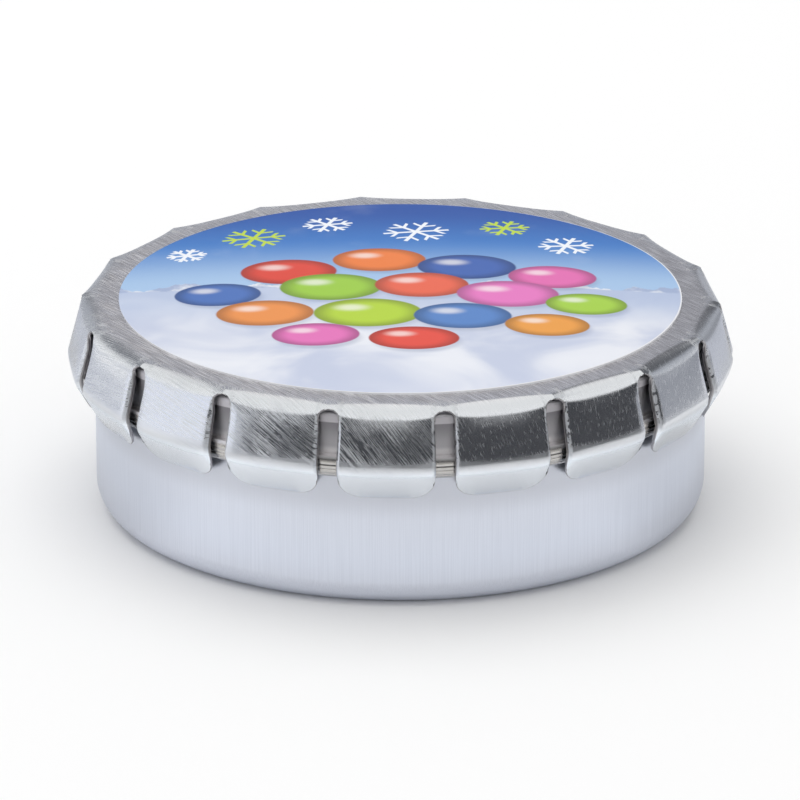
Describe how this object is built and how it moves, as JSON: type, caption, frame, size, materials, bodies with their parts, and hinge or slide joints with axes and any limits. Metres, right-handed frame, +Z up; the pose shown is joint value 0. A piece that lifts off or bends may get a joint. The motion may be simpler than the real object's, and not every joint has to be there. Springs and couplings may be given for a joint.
{
  "type": "candy box",
  "caption": "Small round tinplate sweet tin: a drawn cup with a rolled mouth, and a snap lid whose hooked flaps spread when its crown is pressed.",
  "frame": {"origin": "centre of the foot ring, on the surface that the tin stands on", "axes": "+Z up along the tin's axis; -Y faces the picture's camera"},
  "size_m": [0.0498, 0.0496, 0.0165],
  "materials": {
    "cup_tinplate": "bright tinplate, brushed up and down",
    "rim_tinplate": "bright tinplate with fine slanting scratches",
    "crown_tinplate": "bright tinplate",
    "flap_tinplate": "bright tinplate with fine slanting scratches",
    "label_print": null
  },
  "bodies": {
    "base": {"base_cup": "cup_tinplate"},
    "lid": {"lid_rim": "rim_tinplate"},
    "crown": {"crown_panel": "crown_tinplate", "label": "label_print"},
    "flap_01": {"flap_01": "flap_tinplate"},
    "flap_02": {"flap_02": "flap_tinplate"},
    "flap_03": {"flap_03": "flap_tinplate"},
    "flap_04": {"flap_04": "flap_tinplate"},
    "flap_05": {"flap_05": "flap_tinplate"},
    "flap_06": {"flap_06": "flap_tinplate"},
    "flap_07": {"flap_07": "flap_tinplate"},
    "flap_08": {"flap_08": "flap_tinplate"},
    "flap_09": {"flap_09": "flap_tinplate"},
    "flap_10": {"flap_10": "flap_tinplate"},
    "flap_11": {"flap_11": "flap_tinplate"},
    "flap_12": {"flap_12": "flap_tinplate"},
    "flap_13": {"flap_13": "flap_tinplate"},
    "flap_14": {"flap_14": "flap_tinplate"},
    "flap_15": {"flap_15": "flap_tinplate"},
    "flap_16": {"flap_16": "flap_tinplate"},
    "flap_17": {"flap_17": "flap_tinplate"},
    "flap_18": {"flap_18": "flap_tinplate"}
  },
  "joints": [
    {"name": "lid_lift", "type": "slide", "parent": "base", "child": "lid", "axis": [0, 0, 1], "range_m": [0, 0.045]},
    {"name": "crown_press", "type": "slide", "parent": "lid", "child": "crown", "axis": [0, 0, -1], "range_m": [0, 0.0018]},
    {"name": "flap_01_swing", "type": "hinge", "parent": "lid", "child": "flap_01", "pos_m": [0.02361, 0.00315, 0.01467], "axis": [0.1323, -0.9912, 0], "range_deg": [0, 14]},
    {"name": "flap_02_swing", "type": "hinge", "parent": "lid", "child": "flap_02", "pos_m": [0.02111, 0.01104, 0.01467], "axis": [0.4633, -0.8862, 0], "range_deg": [0, 14]},
    {"name": "flap_03_swing", "type": "hinge", "parent": "lid", "child": "flap_03", "pos_m": [0.01606, 0.01759, 0.01467], "axis": [0.7385, -0.6743, 0], "range_deg": [0, 14]},
    {"name": "flap_04_swing", "type": "hinge", "parent": "lid", "child": "flap_04", "pos_m": [0.00908, 0.02203, 0.01467], "axis": [0.9245, -0.3811, 0], "range_deg": [0, 14]},
    {"name": "flap_05_swing", "type": "hinge", "parent": "lid", "child": "flap_05", "pos_m": [0.001, 0.0238, 0.01467], "axis": [0.9991, -0.0419, 0], "range_deg": [0, 14]},
    {"name": "flap_06_swing", "type": "hinge", "parent": "lid", "child": "flap_06", "pos_m": [-0.0072, 0.02271, 0.01467], "axis": [0.9532, 0.3024, 0], "range_deg": [0, 14]},
    {"name": "flap_07_swing", "type": "hinge", "parent": "lid", "child": "flap_07", "pos_m": [-0.01454, 0.01888, 0.01467], "axis": [0.7923, 0.6101, 0], "range_deg": [0, 14]},
    {"name": "flap_08_swing", "type": "hinge", "parent": "lid", "child": "flap_08", "pos_m": [-0.02012, 0.01277, 0.01467], "axis": [0.5358, 0.8443, 0], "range_deg": [0, 14]},
    {"name": "flap_09_swing", "type": "hinge", "parent": "lid", "child": "flap_09", "pos_m": [-0.02327, 0.00512, 0.01467], "axis": [0.2147, 0.9767, 0], "range_deg": [0, 14]},
    {"name": "flap_10_swing", "type": "hinge", "parent": "lid", "child": "flap_10", "pos_m": [-0.02361, -0.00315, 0.01467], "axis": [-0.1323, 0.9912, 0], "range_deg": [0, 14]},
    {"name": "flap_11_swing", "type": "hinge", "parent": "lid", "child": "flap_11", "pos_m": [-0.02111, -0.01104, 0.01467], "axis": [-0.4633, 0.8862, 0], "range_deg": [0, 14]},
    {"name": "flap_12_swing", "type": "hinge", "parent": "lid", "child": "flap_12", "pos_m": [-0.01606, -0.01759, 0.01467], "axis": [-0.7385, 0.6743, 0], "range_deg": [0, 14]},
    {"name": "flap_13_swing", "type": "hinge", "parent": "lid", "child": "flap_13", "pos_m": [-0.00908, -0.02203, 0.01467], "axis": [-0.9245, 0.3811, 0], "range_deg": [0, 14]},
    {"name": "flap_14_swing", "type": "hinge", "parent": "lid", "child": "flap_14", "pos_m": [-0.001, -0.0238, 0.01467], "axis": [-0.9991, 0.0419, 0], "range_deg": [0, 14]},
    {"name": "flap_15_swing", "type": "hinge", "parent": "lid", "child": "flap_15", "pos_m": [0.0072, -0.02271, 0.01467], "axis": [-0.9532, -0.3024, 0], "range_deg": [0, 14]},
    {"name": "flap_16_swing", "type": "hinge", "parent": "lid", "child": "flap_16", "pos_m": [0.01454, -0.01888, 0.01467], "axis": [-0.7923, -0.6101, 0], "range_deg": [0, 14]},
    {"name": "flap_17_swing", "type": "hinge", "parent": "lid", "child": "flap_17", "pos_m": [0.02012, -0.01277, 0.01467], "axis": [-0.5358, -0.8443, 0], "range_deg": [0, 14]},
    {"name": "flap_18_swing", "type": "hinge", "parent": "lid", "child": "flap_18", "pos_m": [0.02327, -0.00512, 0.01467], "axis": [-0.2147, -0.9767, 0], "range_deg": [0, 14]}
  ],
  "couplings": [
    {"joint": "flap_01_swing", "follows": "crown_press", "rad_per_m": 135.7},
    {"joint": "flap_02_swing", "follows": "crown_press", "rad_per_m": 135.7},
    {"joint": "flap_03_swing", "follows": "crown_press", "rad_per_m": 135.7},
    {"joint": "flap_04_swing", "follows": "crown_press", "rad_per_m": 135.7},
    {"joint": "flap_05_swing", "follows": "crown_press", "rad_per_m": 135.7},
    {"joint": "flap_06_swing", "follows": "crown_press", "rad_per_m": 135.7},
    {"joint": "flap_07_swing", "follows": "crown_press", "rad_per_m": 135.7},
    {"joint": "flap_08_swing", "follows": "crown_press", "rad_per_m": 135.7},
    {"joint": "flap_09_swing", "follows": "crown_press", "rad_per_m": 135.7},
    {"joint": "flap_10_swing", "follows": "crown_press", "rad_per_m": 135.7},
    {"joint": "flap_11_swing", "follows": "crown_press", "rad_per_m": 135.7},
    {"joint": "flap_12_swing", "follows": "crown_press", "rad_per_m": 135.7},
    {"joint": "flap_13_swing", "follows": "crown_press", "rad_per_m": 135.7},
    {"joint": "flap_14_swing", "follows": "crown_press", "rad_per_m": 135.7},
    {"joint": "flap_15_swing", "follows": "crown_press", "rad_per_m": 135.7},
    {"joint": "flap_16_swing", "follows": "crown_press", "rad_per_m": 135.7},
    {"joint": "flap_17_swing", "follows": "crown_press", "rad_per_m": 135.7},
    {"joint": "flap_18_swing", "follows": "crown_press", "rad_per_m": 135.7}
  ]
}
